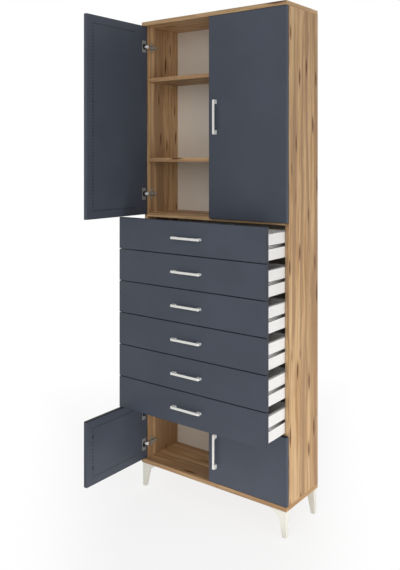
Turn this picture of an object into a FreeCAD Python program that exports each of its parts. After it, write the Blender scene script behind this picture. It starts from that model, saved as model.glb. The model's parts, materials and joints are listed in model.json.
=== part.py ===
import FreeCAD, Part
import Sketcher

import os
import re

# Tall narrow storage cabinet on four feet. Two doors close the upper compartment, two short doors
# close the lower one, and six drawers run between them. It stands as a shop shows it: the left
# doors are open at a right angle and every drawer is pulled out to its stop.
# Millimetres. The front faces -Y, +X is to the right, +Z is up, and the origin lies on the floor
# under the middle of the case.

DRAWER_COUNT = 6
DOOR_OPEN_DEGREES = 90

# Name, value and meaning of each driving dimension.
SIZES = [
    ("case_width", 680, "outer width of the case"),
    ("case_depth", 234, "closed door face to rear edge"),
    ("case_height", 1800, "bottom board to top board, without the feet"),
    ("board_thick", 16, "case boards and dividers"),
    ("board_round", 1, "eased edges of the top and bottom boards"),
    ("edging_round", 0.8, "edging on the front edges of sides, dividers and shelves"),
    ("front_thick", 16, "doors and drawer fronts"),
    ("front_round", 2, "rounded edging of doors and drawer fronts"),
    ("front_setback", 3, "closed front to the edges of the sides"),
    ("edge_gap", 0.5, "fronts to the top and bottom boards"),
    ("front_gap", 2, "between neighbouring fronts"),
    ("lower_door_height", 245.5, "short doors"),
    ("drawer_front_height", 123, "each drawer front"),
    ("drawer_front_inset", 1, "ends of a drawer front to the sides of the case"),
    ("upper_divider_rise", 7, "upper divider above the lower edge of the tall doors"),
    ("lower_divider_rise", 2, "lower divider above the lower edge of the lowest drawer front"),
    ("back_thick", 3, "back panel"),
    ("back_inset", 16, "back panel to the rear edges"),
    ("back_groove", 8, "depth of the groove that holds the back panel"),
    ("groove_play", 0.2, "room for a panel in its groove"),
    ("shelf_thick", 16, "shelves"),
    ("shelf_setback", 4, "shelf to the front edges of the sides"),
    ("shelf_play", 1, "shelf to the sides and the back"),
    ("low_shelf_height", 208, "underside of the low shelf over the divider"),
    ("high_shelf_height", 534.5, "underside of the high shelf over the divider"),
    ("shelf_pin_radius", 2.5, "shelf pins"),
    ("shelf_pin_seat", 8, "shelf pin inside the side"),
    ("shelf_pin_reach", 9, "shelf pin under the shelf"),
    ("shelf_pin_inset", 32, "shelf pin to the shelf edge"),
    ("dowel_radius", 4, "wooden dowels"),
    ("dowel_seat", 10, "dowel in the face of a board"),
    ("dowel_reach", 22, "dowel in the end of a board"),
    ("dowel_inset", 40, "dowel to the front edge and to the back panel"),
    ("foot_height", 95, "floor to the bottom board"),
    ("foot_inset", 3.5, "foot to the outer faces of the case"),
    ("foot_width", 64, "wing of the foot under the board"),
    ("foot_flange", 3, "wing at its thin end"),
    ("foot_neck", 28, "leg where it leaves the wing"),
    ("foot_neck_drop", 29, "start of the wing under the board"),
    ("foot_tip", 16, "leg at the floor"),
    ("foot_depth", 22, "front to back under the board"),
    ("foot_tip_depth", 14.5, "front to back at the floor"),
    ("foot_curve", 12, "hollow curve between wing and leg"),
    ("foot_round", 1.5, "edges of the leg"),
    ("stud_radius", 3, "studs that hold the feet"),
    ("stud_seat", 6.5, "stud inside the bottom board, short of the back groove"),
    ("stud_reach", 20, "stud inside the foot"),
    ("stud_inset", 10, "first stud to the outer edge of the foot"),
    ("stud_spacing", 12, "between the two studs of a foot"),
    ("handle_length", 132, "end to end"),
    ("handle_width", 9, "bar seen from the front"),
    ("handle_proud", 19, "bar face to front face"),
    ("handle_bar", 5, "thickness of the bar"),
    ("handle_leg", 17, "each leg along the bar"),
    ("handle_bend", 5, "outer corner of the bow"),
    ("handle_fillet", 3, "inner corner of the bow"),
    ("handle_round", 1.6, "edges of the bar"),
    ("handle_inset", 33, "door handle to the free edge of the door"),
    ("bolt_pitch", 115, "between the two bolts of a handle"),
    ("bolt_radius", 2, "bolts that hold the handles"),
    ("bolt_reach", 9, "bolt inside the handle leg"),
    ("bolt_head_radius", 4, "bolt head inside the front"),
    ("bolt_head", 2, "height of the bolt head"),
    ("upper_hinge_inset", 84.5, "hinge to the end of a tall door"),
    ("lower_hinge_inset", 60, "hinge to the end of a short door"),
    ("cup_radius", 13, "hinge cup"),
    ("cup_shell", 0.6, "sheet of the hinge cup"),
    ("cup_floor_gap", 0.65, "hinge knuckle to the floor of the cup"),
    ("cup_pin_edge", 5, "hinge pin to the wall of the cup"),
    ("cup_play", 0.1, "cup in its bore"),
    ("flange_height", 48, "hinge flange on the door"),
    ("flange_width", 20, "hinge flange on the door"),
    ("flange_lip", 1.5, "hinge flange past the far wall of the cup"),
    ("flange_thick", 0.8, "hinge flange on the door"),
    ("pin_radius", 1.5, "hinge pin"),
    ("pin_play", 0.05, "hinge pin in the knuckle"),
    ("lug_thick", 3, "lugs that hold the hinge pin"),
    ("lug_half", 3, "hinge pin to the free edges of a lug"),
    ("knuckle_radius", 2.75, "eye of the hinge arm"),
    ("knuckle_height", 8, "eye of the hinge arm"),
    ("knuckle_play", 0.3, "eye to the lugs"),
    ("neck_thick", 1.8, "arm inside the cup"),
    ("arm_thick", 3, "arm along the side"),
    ("arm_height", 11, "arm along the side"),
    ("head_length", 9.5, "thick head of the arm in front of the side"),
    ("head_lap", 2, "head of the arm towards the hinge pin"),
    ("head_proud", 0.5, "head of the arm over its outer face"),
    ("arm_length", 49, "arm behind the front edge of the side"),
    ("plate_thick", 4, "hinge plate under the arm"),
    ("plate_start", 10, "hinge plate to the front edge of the side"),
    ("wing_line", 23, "plate screws to the front edge of the side"),
    ("wing_height", 40, "wings of the hinge plate"),
    ("wing_width", 14, "wings of the hinge plate"),
    ("wing_thick", 2, "wings of the hinge plate"),
    ("wing_screw_pitch", 28, "between the two screws of a plate"),
    ("screw_radius", 1.3, "chipboard screws"),
    ("screw_length", 12, "chipboard screws"),
    ("screw_head_radius", 2.6, "chipboard screws"),
    ("screw_head", 1.2, "height of the screw head"),
    ("short_screw_length", 5, "screws of the drawer runners"),
    ("drawer_pull", 133, "travel of a drawer"),
    ("drawer_side_gap", 2.5, "drawer side to the side of the case"),
    ("drawer_side_thick", 12, "drawer sides and back"),
    ("drawer_side_round", 0.8, "upper edges of the drawer sides and back"),
    ("drawer_side_height", 90, "drawer sides"),
    ("drawer_side_lift", 4, "drawer sides over the lower edge of the front"),
    ("drawer_rear_gap", 9, "closed drawer to the back panel"),
    ("drawer_bottom_thick", 3, "drawer bottom"),
    ("drawer_bottom_lift", 8, "drawer bottom over the lower edge of the sides"),
    ("drawer_bottom_groove", 5, "groove that holds the drawer bottom"),
    ("runner_groove", 7.5, "depth of the runner groove in a drawer side"),
    ("runner_groove_height", 13, "runner groove in a drawer side"),
    ("runner_height", 11, "fixed runner"),
    ("runner_metal", 1.2, "sheet of the runners"),
    ("runner_play", 0.3, "between the two runner members"),
    ("runner_wall_gap", 2, "end of a runner lip to the other web"),
    ("runner_end_gap", 3, "runner to the ends of the drawer side"),
    ("runner_screw_inset", 25, "first and last screws to the ends of a runner"),
]

# Places and sizes that follow from the driving dimensions.
DERIVED = {
    "half_width": "case_width / 2",
    "front_y": "0 - case_depth / 2",
    "rear_y": "case_depth / 2",
    "carcass_y": "front_y + front_thick + front_setback",
    "inner_half": "half_width - board_thick",
    "inner_floor": "foot_height + board_thick",
    "inner_ceiling": "foot_height + case_height - board_thick",
    "side_height": "inner_ceiling - inner_floor",
    "back_y": "rear_y - back_inset - back_thick",
    "inner_depth": "back_y - carcass_y",
    "lower_door_z": "inner_floor + edge_gap",
    "drawer_pitch": "drawer_front_height + front_gap",
    "lowest_drawer_z": "lower_door_z + lower_door_height + front_gap",
    "upper_door_z": f"lowest_drawer_z + {DRAWER_COUNT} * drawer_pitch",
    "upper_door_height": "inner_ceiling - edge_gap - upper_door_z",
    "leaf_width": "half_width - front_gap / 2",
    "upper_divider_top": "upper_door_z + upper_divider_rise",
    "lower_divider_top": "lowest_drawer_z + lower_divider_rise",
    "front_dowel_y": "carcass_y + dowel_inset",
    "rear_dowel_y": "back_y - dowel_inset",
    "pivot": "front_thick / 2",
    "cup_centre": "cup_radius - cup_pin_edge",
    "cup_floor": "knuckle_radius + cup_floor_gap + cup_shell",
    "cup_inner_radius": "cup_radius - cup_shell",
    "lug_start": "knuckle_height / 2 + knuckle_play",
    "hinge_side_x": "board_thick - pivot",
    "hinge_side_y": "pivot + front_setback",
    "arm_x": "hinge_side_x + plate_thick",
    "drawer_half": "inner_half - drawer_side_gap",
    "drawer_inner_half": "drawer_half - drawer_side_thick",
    "drawer_length": "back_y - drawer_rear_gap - front_y - front_thick",
    "drawer_bottom_z": "drawer_side_lift + drawer_bottom_lift",
    "runner_z": "drawer_side_lift + drawer_side_height / 2",
    "runner_length": "drawer_length - 2 * runner_end_gap",
    "groove_floor_gap": "drawer_side_gap + runner_groove",
    "slider_height": "runner_height - 2 * runner_metal - 2 * runner_play",
}

SIDEWAYS = FreeCAD.Vector(1, 0, 0)
BACKWARD = FreeCAD.Vector(0, 1, 0)
UPWARD = FreeCAD.Vector(0, 0, 1)
ALONG_X = FreeCAD.Rotation(BACKWARD, 90)
AGAINST_X = FreeCAD.Rotation(BACKWARD, -90)
ALONG_Y = FreeCAD.Rotation(SIDEWAYS, -90)
UPRIGHT = FreeCAD.Rotation(BACKWARD, 90)
OPEN_LEFT = FreeCAD.Rotation(UPWARD, -DOOR_OPEN_DEGREES)
RIGHT_HAND = FreeCAD.Rotation(BACKWARD, 180)

doc = FreeCAD.newDocument("storage_cabinet")
sheet = doc.addObject("Spreadsheet::Sheet", "Sizes")
for row, (alias, size, meaning) in enumerate(SIZES, start=1):
    sheet.set(f"A{row}", alias)
    sheet.set(f"B{row}", str(size))
    sheet.set(f"C{row}", meaning)
    sheet.setAlias(f"B{row}", alias)
doc.recompute()
SIZE_NAMES = {alias for alias, size, meaning in SIZES}
nodes = []


def expand(text):
    """Turn a formula in plain names into one that reads the sheet."""

    def one(found):
        name = found.group(0)
        if name in DERIVED:
            return "(" + expand(DERIVED[name]) + ")"
        return "Sizes." + name if name in SIZE_NAMES else name

    return re.sub(r"[a-z][a-z_]*", one, str(text))


def put(thing, at, turn=None):
    """Bind the place of an object to the sheet, after an optional fixed turn."""
    if turn is not None:
        thing.Placement = FreeCAD.Placement(FreeCAD.Vector(), turn)
    for axis, text in zip("xyz", at):
        thing.setExpression("Placement.Base." + axis, expand(text))
    return thing


def box(name, size, at):
    block = doc.addObject("Part::Box", name)
    for side, text in zip(("Length", "Width", "Height"), size):
        block.setExpression(side, expand(text))
    return put(block, at)


def rod(name, radius, length, at, turn=None):
    cylinder = doc.addObject("Part::Cylinder", name)
    cylinder.setExpression("Radius", expand(radius))
    cylinder.setExpression("Height", expand(length))
    return put(cylinder, at, turn)


def group(name, pieces, at=(0, 0, 0), turn=None):
    compound = doc.addObject("Part::Compound", name)
    compound.Links = pieces
    return put(compound, at, turn)


def cut(name, base, tools):
    result = doc.addObject("Part::Cut", name)
    result.Base = base
    result.Tool = tools[0] if len(tools) == 1 else group(name + "_tools", tools)
    return result


def fuse(name, pieces):
    result = doc.addObject("Part::MultiFuse", name)
    result.Shapes = pieces
    result.Refine = True
    return result


def copy(name, source, at, turn=None):
    link = doc.addObject("App::Link", name)
    link.LinkedObject = source
    return put(link, at, turn)


def mirrored(name, source, way=SIDEWAYS):
    """The same piece on the other side of the middle of the case."""
    other = doc.addObject("Part::Mirroring", name)
    other.Source = source
    other.Normal = way
    return other


def ease(name, base, radius, wanted):
    """Round the edges of a solid that the test picks."""
    doc.recompute()
    room = base.Shape.BoundBox
    numbers = [n for n, edge in enumerate(base.Shape.Edges, start=1) if wanted(edge, room)]
    result = doc.addObject("Part::Fillet", name)
    result.Base = base
    result.Edges = [(n, radius, radius) for n in numbers]
    return result


def runs_along(edge, direction):
    """True for a straight edge that runs along the given direction."""
    if edge.Curve.TypeId != "Part::GeomLine":
        return False
    way = edge.Curve.Direction
    return abs(way.dot(direction)) > 0.999


def every_edge(edge, room):
    return True


def front_edges_along(direction):
    """A test for the front edges of a board that run along the given direction."""
    return lambda edge, room: runs_along(edge, direction) and edge.CenterOfMass.y < room.YMin + 0.01


def top_edges_along(direction):
    """A test for the upper edges of a board that run along the given direction."""
    return lambda edge, room: runs_along(edge, direction) and edge.CenterOfMass.z > room.ZMax - 0.01


def node(label, thing):
    """Keep an object as a finished piece under its own name."""
    thing.Label = label
    nodes.append(thing)
    return thing


def origin_plane(body, role):
    return next(plane for plane in body.Origin.OriginFeatures if plane.Role == role)


def outline(body, name, role, corners):
    """A closed sketch of straight lines, each corner held by formulas of the sheet."""
    sketch = body.newObject("Sketcher::SketchObject", name)
    sketch.AttachmentSupport = [(origin_plane(body, role), "")]
    sketch.MapMode = "FlatFace"
    spots = [FreeCAD.Vector(step, step * step, 0) for step in range(1, len(corners) + 1)]
    for here, there in zip(spots, spots[1:] + spots[:1]):
        sketch.addGeometry(Part.LineSegment(here, there), False)
    count = len(corners)
    for line in range(count):
        sketch.addConstraint(Sketcher.Constraint("Coincident", line, 2, (line + 1) % count, 1))
    for line, corner in enumerate(corners):
        for kind, axis, text in (("DistanceX", -2, corner[0]), ("DistanceY", -1, corner[1])):
            if text == 0:
                sketch.addConstraint(Sketcher.Constraint("PointOnObject", line, 1, axis))
                continue
            number = sketch.addConstraint(Sketcher.Constraint(kind, -1, 1, line, 1, 1.0))
            sketch.setExpression(f"Constraints[{number}]", expand(text))
    return sketch


def panel(name, size, at, holes, radius_name, wanted=every_edge):
    """A flat board with rounded edges and the holes that its fittings need."""
    blank = box(name + "_blank", size, at)
    board = ease(name + "_eased", blank, sheet.get(radius_name), wanted)
    return cut(name, board, holes) if holes else board


def make_screw(name, length):
    """A pan-head screw on Z: head above the seat, shank below it."""
    body = doc.addObject("PartDesign::Body", name)
    corners = [
        (0, 0),
        ("screw_radius", 0),
        ("screw_radius", length),
        ("screw_head_radius", length),
        ("screw_head_radius", length + " + screw_head"),
        (0, length + " + screw_head"),
    ]
    profile = outline(body, name + "_profile", "XZ_Plane", corners)
    turned = body.newObject("PartDesign::Revolution", name + "_turned")
    turned.Profile = profile
    turned.ReferenceAxis = (profile, ["V_Axis"])
    turned.Angle = 360
    body.setExpression("Placement.Base.z", expand("0 - " + length))
    return group(name + "_seated", [body])


screw = make_screw("screw", "screw_length")
short_screw = make_screw("short_screw", "short_screw_length")


# Case boards

hinge_heights = [
    "upper_door_z + upper_hinge_inset",
    "upper_door_z + upper_door_height - upper_hinge_inset",
    "lower_door_z + lower_hinge_inset",
    "lower_door_z + lower_door_height - lower_hinge_inset",
]
drawer_heights = [
    f"lowest_drawer_z + {DRAWER_COUNT - 1 - step} * drawer_pitch" for step in range(DRAWER_COUNT)
]
shelf_heights = {"high_shelf": "high_shelf_height", "low_shelf": "low_shelf_height"}
divider_tops = {"upper_divider": "upper_divider_top", "lower_divider": "lower_divider_top"}
side_middle = "0 - half_width + board_thick / 2"
case_x = "0 - half_width"
inner_x = "0 - inner_half"


def make_dowels():
    """Dowels on the left: upright ones at the ends of the side, level ones into the dividers."""
    length = "dowel_seat + dowel_reach"
    dowels = []
    for line in ("front_dowel_y", "rear_dowel_y"):
        for z in ("inner_floor - dowel_seat", "inner_ceiling - dowel_reach"):
            dowels.append(rod("dowel", "dowel_radius", length, (side_middle, line, z)))
        for top in divider_tops.values():
            at = (inner_x + " - dowel_seat", line, top + " - board_thick / 2")
            dowels.append(rod("dowel", "dowel_radius", length, at, ALONG_X))
    return group("left_dowels", dowels)


def make_shelf_pins():
    pins = []
    for height in shelf_heights.values():
        z = "upper_divider_top + " + height + " - shelf_pin_radius"
        for y in ("carcass_y + shelf_setback + shelf_pin_inset", "back_y - shelf_play - shelf_pin_inset"):
            at = (inner_x + " - shelf_pin_seat", y, z)
            pins.append(rod("pin", "shelf_pin_radius", "shelf_pin_seat + shelf_pin_reach", at, ALONG_X))
    return group("left_shelf_pins", pins)


def make_side_screws():
    """Screws in the left side, for the hinge plates and the fixed runners."""
    screws = []
    for height in hinge_heights:
        for way in ("+", "-"):
            z = f"{height} {way} wing_screw_pitch / 2"
            at = (inner_x + " + wing_thick", "carcass_y + wing_line", z)
            screws.append(copy("plate_screw", screw, at, ALONG_X))
    for height in drawer_heights:
        first = "front_y + front_thick + runner_end_gap + runner_screw_inset"
        for y in (first, first + " + runner_length - 2 * runner_screw_inset"):
            at = (inner_x + " + runner_metal", y, height + " + runner_z")
            screws.append(copy("runner_screw", screw, at, ALONG_X))
    return group("left_screws", screws)


def make_studs():
    """Studs of the front left foot."""
    studs = []
    for step in range(2):
        x = f"{case_x} + foot_inset + stud_inset + {step} * stud_spacing"
        at = (x, "front_y + foot_inset + foot_tip_depth / 2", "foot_height - stud_reach")
        studs.append(rod("stud", "stud_radius", "stud_reach + stud_seat", at))
    return group("front_left_studs", studs)


left_dowels = make_dowels()
right_dowels = mirrored("right_dowels", left_dowels)
left_shelf_pins = make_shelf_pins()
left_screws = make_side_screws()
front_left_studs = make_studs()
front_studs = group("front_studs", [front_left_studs, mirrored("front_right_studs", front_left_studs)])
rear_studs = mirrored("rear_studs", front_studs, BACKWARD)

node("carcass_dowels", group("carcass_dowels", [left_dowels, right_dowels]))
node("shelf_pins", group("shelf_pins", [left_shelf_pins, mirrored("right_shelf_pins", left_shelf_pins)]))
node("carcass_screws", group("carcass_screws", [left_screws, mirrored("right_screws", left_screws)]))
node("foot_studs", group("foot_studs", [front_studs, rear_studs]))

groove_y = "back_y - groove_play / 2"
groove_width = "back_thick + groove_play"
wide_board = ("case_width", "case_depth", "board_thick")
level_groove = ("2 * (inner_half + back_groove)", groove_width, "back_groove")
level_groove_x = "0 - inner_half - back_groove"
top_groove = box("top_groove", level_groove, (level_groove_x, groove_y, "inner_ceiling"))
low_groove = box("low_groove", level_groove, (level_groove_x, groove_y, "inner_floor - back_groove"))
dowel_holes = [left_dowels, right_dowels]
top_at = (case_x, "front_y", "inner_ceiling")
node("top_board", panel("top_board", wide_board, top_at, [top_groove, *dowel_holes], "board_round"))
bottom_holes = [low_groove, *dowel_holes, front_studs, rear_studs]
bottom_at = (case_x, "front_y", "foot_height")
node("bottom_board", panel("bottom_board", wide_board, bottom_at, bottom_holes, "board_round"))

side_size = ("board_thick", "rear_y - carcass_y", "side_height")
side_groove_size = ("back_groove", groove_width, "side_height")
side_groove = box("side_groove", side_groove_size, (level_groove_x, groove_y, "inner_floor"))
side_holes = [side_groove, left_dowels, left_shelf_pins, left_screws]
side_at = (case_x, "carcass_y", "inner_floor")
side_edges = front_edges_along(UPWARD)
left_side = panel("left_side", side_size, side_at, side_holes, "edging_round", side_edges)
node("left_side", left_side)
node("right_side", mirrored("right_side", left_side))

for label, top in divider_tops.items():
    size = ("2 * inner_half", "inner_depth", "board_thick")
    at = (inner_x, "carcass_y", top + " - board_thick")
    node(label, panel(label, size, at, dowel_holes, "edging_round", front_edges_along(SIDEWAYS)))

for label, height in shelf_heights.items():
    size = ("2 * (inner_half - shelf_play)", "inner_depth - shelf_setback - shelf_play", "shelf_thick")
    at = (inner_x + " + shelf_play", "carcass_y + shelf_setback", "upper_divider_top + " + height)
    node(label, panel(label, size, at, [], "edging_round", front_edges_along(SIDEWAYS)))

back_rim = "(back_groove - groove_play)"
back_size = (f"2 * (inner_half + {back_rim})", "back_thick", f"side_height + 2 * {back_rim}")
back_at = (f"{inner_x} - {back_rim}", "back_y", f"inner_floor - {back_rim}")
node("back_panel", box("back_panel", back_size, back_at))


# Feet


def make_foot():
    """Front left foot: a thin wing under the board that curves down into a tapered leg."""
    body = doc.addObject("PartDesign::Body", "foot_body")
    corners = [
        (0, 0),
        ("foot_tip", 0),
        ("foot_neck", "foot_height - foot_neck_drop"),
        ("foot_width", "foot_height - foot_flange"),
        ("foot_width", "foot_height"),
        (0, "foot_height"),
    ]
    face = outline(body, "foot_face", "XZ_Plane", corners)
    pad = body.newObject("PartDesign::Pad", "foot_pad")
    pad.Profile = face
    pad.Reversed = True
    pad.setExpression("Length", expand("foot_depth"))
    taper = outline(
        body,
        "foot_taper",
        "YZ_Plane",
        [("foot_tip_depth", 0), ("foot_depth", 0), ("foot_depth", "foot_height")],
    )
    pocket = body.newObject("PartDesign::Pocket", "foot_pocket")
    pocket.Profile = taper
    pocket.Reversed = True
    pocket.setExpression("Length", expand("foot_width"))
    body.Tip = pocket
    doc.recompute()
    neck = sheet.get("foot_neck")
    under = sheet.get("foot_height") - sheet.get("foot_neck_drop")
    name = next(
        f"Edge{n}"
        for n, edge in enumerate(pocket.Shape.Edges, start=1)
        if runs_along(edge, BACKWARD)
        and abs(edge.CenterOfMass.x - neck) < 0.01
        and abs(edge.CenterOfMass.z - under) < 0.01
    )
    curve = body.newObject("PartDesign::Fillet", "foot_hollow")
    curve.Base = (pocket, [name])
    curve.setExpression("Radius", expand("foot_curve"))
    body.Tip = curve
    doc.recompute()
    upright = [
        f"Edge{n}"
        for n, edge in enumerate(curve.Shape.Edges, start=1)
        if edge.BoundBox.ZMin < 0.01 < edge.BoundBox.ZMax and edge.CenterOfMass.x < neck / 2
    ]
    rounded = body.newObject("PartDesign::Fillet", "foot_rounded")
    rounded.Base = (curve, upright)
    rounded.setExpression("Radius", expand("foot_round"))
    body.Tip = rounded
    return body


foot_at = (case_x + " + foot_inset", "front_y + foot_inset", 0)
front_left_foot = cut("front_left_foot", group("foot_placed", [make_foot()], foot_at), [front_left_studs])
front_feet = group("front_feet", [front_left_foot, mirrored("front_right_foot", front_left_foot)])
node("feet", group("feet", [front_feet, mirrored("rear_feet", front_feet, BACKWARD)]))


# Hinges, drawn about the hinge pin with the door closed and hung on the left


def make_cup():
    """Cup with its flange and two lugs that hold the pin."""
    depth = "pivot + cup_floor"
    hollow_depth = "pivot + cup_floor - cup_shell + flange_thick"
    shell = rod("cup_shell", "cup_radius", depth, ("cup_centre", "0 - cup_floor", 0), ALONG_Y)
    flange = box(
        "cup_flange",
        ("flange_width", "flange_thick", "flange_height"),
        ("cup_centre + cup_radius + flange_lip - flange_width", "pivot", "0 - flange_height / 2"),
    )
    hollow_at = ("cup_centre", "cup_shell - cup_floor", 0)
    hollow = rod("cup_hollow", "cup_inner_radius", hollow_depth, hollow_at, ALONG_Y)
    dish = cut("cup_dish", fuse("cup_outside", [shell, flange]), [hollow])
    lugs = []
    for z in ("lug_start", "0 - lug_start - lug_thick"):
        size = ("cup_pin_edge + lug_half", "cup_floor + lug_half", "lug_thick")
        lugs.append(box("lug", size, ("0 - cup_pin_edge", "0 - cup_floor", z)))
    lugs_in_cup = doc.addObject("Part::MultiCommon", "lugs_in_cup")
    lugs_in_cup.Shapes = [group("lugs", lugs), shell]
    length = "2 * (lug_start + lug_thick)"
    pin_rod = rod("pin_rod", "pin_radius", length, (0, 0, "0 - lug_start - lug_thick"))
    pin = group("hinge_pin", [pin_rod])
    return cut("hinge_cup", fuse("cup_with_lugs", [dish, lugs_in_cup]), [pin]), pin


def make_arm():
    """Arm from the knuckle on the pin, out of the cup and back along the side."""
    knuckle = rod("knuckle", "knuckle_radius", "knuckle_height", (0, 0, "0 - knuckle_height / 2"))
    reach = "arm_x + arm_thick"
    neck = box(
        "arm_neck",
        (reach, "neck_thick", "knuckle_height"),
        (0, "0 - neck_thick / 2", "0 - knuckle_height / 2"),
    )
    leg = box(
        "arm_leg",
        ("arm_thick", "neck_thick / 2 + hinge_side_y + arm_length", "arm_height"),
        ("arm_x", "0 - neck_thick / 2", "0 - arm_height / 2"),
    )
    head = box(
        "arm_head",
        ("head_lap + arm_thick + head_proud", "head_length", "arm_height"),
        ("arm_x - head_lap", "0 - neck_thick / 2", "0 - arm_height / 2"),
    )
    eye = rod("knuckle_eye", "pin_radius + pin_play", "arm_height", (0, 0, "0 - arm_height / 2"))
    return cut("hinge_arm", fuse("arm_blank", [knuckle, neck, leg, head]), [eye])


def make_plate():
    """Cross-shaped plate on the side: a body under the arm and two wings with screw holes."""
    body = box(
        "plate_body",
        ("plate_thick", "arm_length - plate_start", "arm_height"),
        ("hinge_side_x", "hinge_side_y + plate_start", "0 - arm_height / 2"),
    )
    wings = box(
        "plate_wings",
        ("wing_thick", "wing_width", "wing_height"),
        ("hinge_side_x", "hinge_side_y + wing_line - wing_width / 2", "0 - wing_height / 2"),
    )
    holes = []
    for way in ("+", "-"):
        at = ("hinge_side_x", "hinge_side_y + wing_line", f"0 {way} wing_screw_pitch / 2")
        holes.append(rod("plate_hole", "screw_radius", "wing_thick", at, ALONG_X))
    return cut("hinge_plate", fuse("plate_blank", [body, wings]), holes)


hinge_cup, hinge_pin = make_cup()
for label, master in (("hinge_arms", make_arm()), ("hinge_plates", make_plate())):
    left = group(
        "left_" + label,
        [copy(label + "_copy", master, (case_x + " + pivot", "front_y + pivot", z)) for z in hinge_heights],
    )
    node(label, group(label, [left, mirrored("right_" + label, left)]))


# Handles


def make_handle():
    """Bow handle along X that stands proud towards -Y, with the two bolts that hold it."""
    outside = box(
        "handle_outside",
        ("handle_length", "handle_proud", "handle_width"),
        ("0 - handle_length / 2", "0 - handle_proud", "0 - handle_width / 2"),
    )
    finger_gap = box(
        "handle_gap",
        ("handle_length - 2 * handle_leg", "handle_proud - handle_bar", "handle_width"),
        ("handle_leg - handle_length / 2", "handle_bar - handle_proud", "0 - handle_width / 2"),
    )
    straight = cut("handle_straight", outside, [finger_gap])
    proud = sheet.get("handle_proud")
    bend = ease(
        "handle_bent",
        straight,
        sheet.get("handle_bend"),
        lambda edge, room: runs_along(edge, UPWARD) and abs(edge.CenterOfMass.y + proud) < 0.01,
    )
    inner_y = sheet.get("handle_bar") - proud
    bow = ease(
        "handle_bow",
        bend,
        sheet.get("handle_fillet"),
        lambda edge, room: runs_along(edge, UPWARD) and abs(edge.CenterOfMass.y - inner_y) < 0.01,
    )
    half = sheet.get("handle_width") / 2
    soft = ease(
        "handle_soft",
        bow,
        sheet.get("handle_round"),
        lambda edge, room: abs(abs(edge.CenterOfMass.z) - half) < 0.01 and edge.BoundBox.YMin < -0.01,
    )
    bolts = []
    for way in ("+", "-"):
        at = (f"0 {way} bolt_pitch / 2", "0 - bolt_reach", 0)
        shank = rod("bolt_shank", "bolt_radius", "bolt_reach + front_thick", at, ALONG_Y)
        head_at = (at[0], "front_thick", 0)
        head = rod("bolt_head", "bolt_head_radius", "bolt_head", head_at, ALONG_Y)
        bolts.append(fuse("handle_bolt", [shank, head]))
    bolt_pair = group("handle_bolts", bolts)
    return group("handle", [cut("handle_bar_cut", soft, [bolt_pair]), bolt_pair]), bolt_pair


handle, handle_bolts = make_handle()


# Doors, drawn closed and hung on the left about the hinge pin, from their middle height


def make_door(name, height, hinge_inset):
    leaf_size = ("leaf_width", "front_thick", height)
    handle_at = ("leaf_width - pivot - handle_inset", "0 - pivot", 0)
    cups = []
    pins = []
    bores = [copy(name + "_bolt_holes", handle_bolts, handle_at, UPRIGHT)]
    for way in ("-", "+"):
        z = f"0 {way} ({height} / 2 - {hinge_inset})"
        cups.append(copy(name + "_cup", hinge_cup, (0, 0, z)))
        pins.append(copy(name + "_pin", hinge_pin, (0, 0, z)))
        depth = "pivot + cup_floor + cup_play"
        bore_at = ("cup_centre", "0 - cup_floor - cup_play", z)
        bores.append(rod(name + "_bore", "cup_radius + cup_play", depth, bore_at, ALONG_Y))
    leaf_at = ("0 - pivot", "0 - pivot", f"0 - {height} / 2")
    leaf = panel(name + "_leaf", leaf_size, leaf_at, bores, "front_round")
    knob = copy(name + "_handle_copy", handle, handle_at, UPRIGHT)
    return [("door_panel", [leaf]), ("hinge_cups", cups + pins), ("door_handle", [knob])]


door_rows = {
    "upper": ("upper_door_z", "upper_door_height", "upper_hinge_inset"),
    "lower": ("lower_door_z", "lower_door_height", "lower_hinge_inset"),
}
for row, (low_edge, height, hinge_inset) in door_rows.items():
    middle = f"{low_edge} + {height} / 2"
    for hand, way, turn in (("left", "-", OPEN_LEFT), ("right", "+", RIGHT_HAND)):
        name = f"{row}_{hand}"
        at = (f"0 {way} (half_width - pivot)", "front_y + pivot", middle)
        for piece, solids in make_door(name, height, hinge_inset):
            node(f"{name}_{piece}", group(f"{name}_{piece}", solids, at, turn))


# Drawers, drawn from the lower edge of the front, with Y at its outer face


def make_drawer_walls():
    """Left side, right side and back, with the grooves for runners and bottom."""
    length = "drawer_length"
    side = box(
        "drawer_side",
        ("drawer_side_thick", length, "drawer_side_height"),
        ("0 - drawer_half", "front_thick", "drawer_side_lift"),
    )
    runner_slot = box(
        "runner_slot",
        ("runner_groove", length, "runner_groove_height"),
        ("0 - drawer_half", "front_thick", "runner_z - runner_groove_height / 2"),
    )
    bottom_slot = box(
        "bottom_slot",
        ("drawer_bottom_groove", length, "drawer_bottom_thick + groove_play"),
        ("0 - drawer_inner_half - drawer_bottom_groove", "front_thick", "drawer_bottom_z"),
    )
    eased = ease("drawer_side_eased", side, sheet.get("drawer_side_round"), top_edges_along(BACKWARD))
    left = cut("drawer_left", eased, [runner_slot, bottom_slot, slider_screws])
    back_z = "(drawer_bottom_z + drawer_bottom_thick)"
    back = box(
        "drawer_back",
        (
            "2 * drawer_inner_half",
            "drawer_side_thick",
            f"drawer_side_lift + drawer_side_height - {back_z}",
        ),
        ("0 - drawer_inner_half", f"front_thick + {length} - drawer_side_thick", back_z),
    )
    rim = ease("drawer_back_eased", back, sheet.get("drawer_side_round"), top_edges_along(SIDEWAYS))
    return group("drawer_walls", [left, mirrored("drawer_right", left), rim])


def make_channel(name, width, height, length, at, open_side):
    """A runner member: a web with two lips, open towards the left or the right."""
    outside = box(name + "_outside", (width, length, height), at)
    inside_x = at[0] if open_side == "left" else f"{at[0]} + runner_metal"
    inside = box(
        name + "_inside",
        (f"{width} - runner_metal", length, f"{height} - 2 * runner_metal"),
        (inside_x, at[1], f"{at[2]} + runner_metal"),
    )
    return cut(name, outside, [inside])


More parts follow.
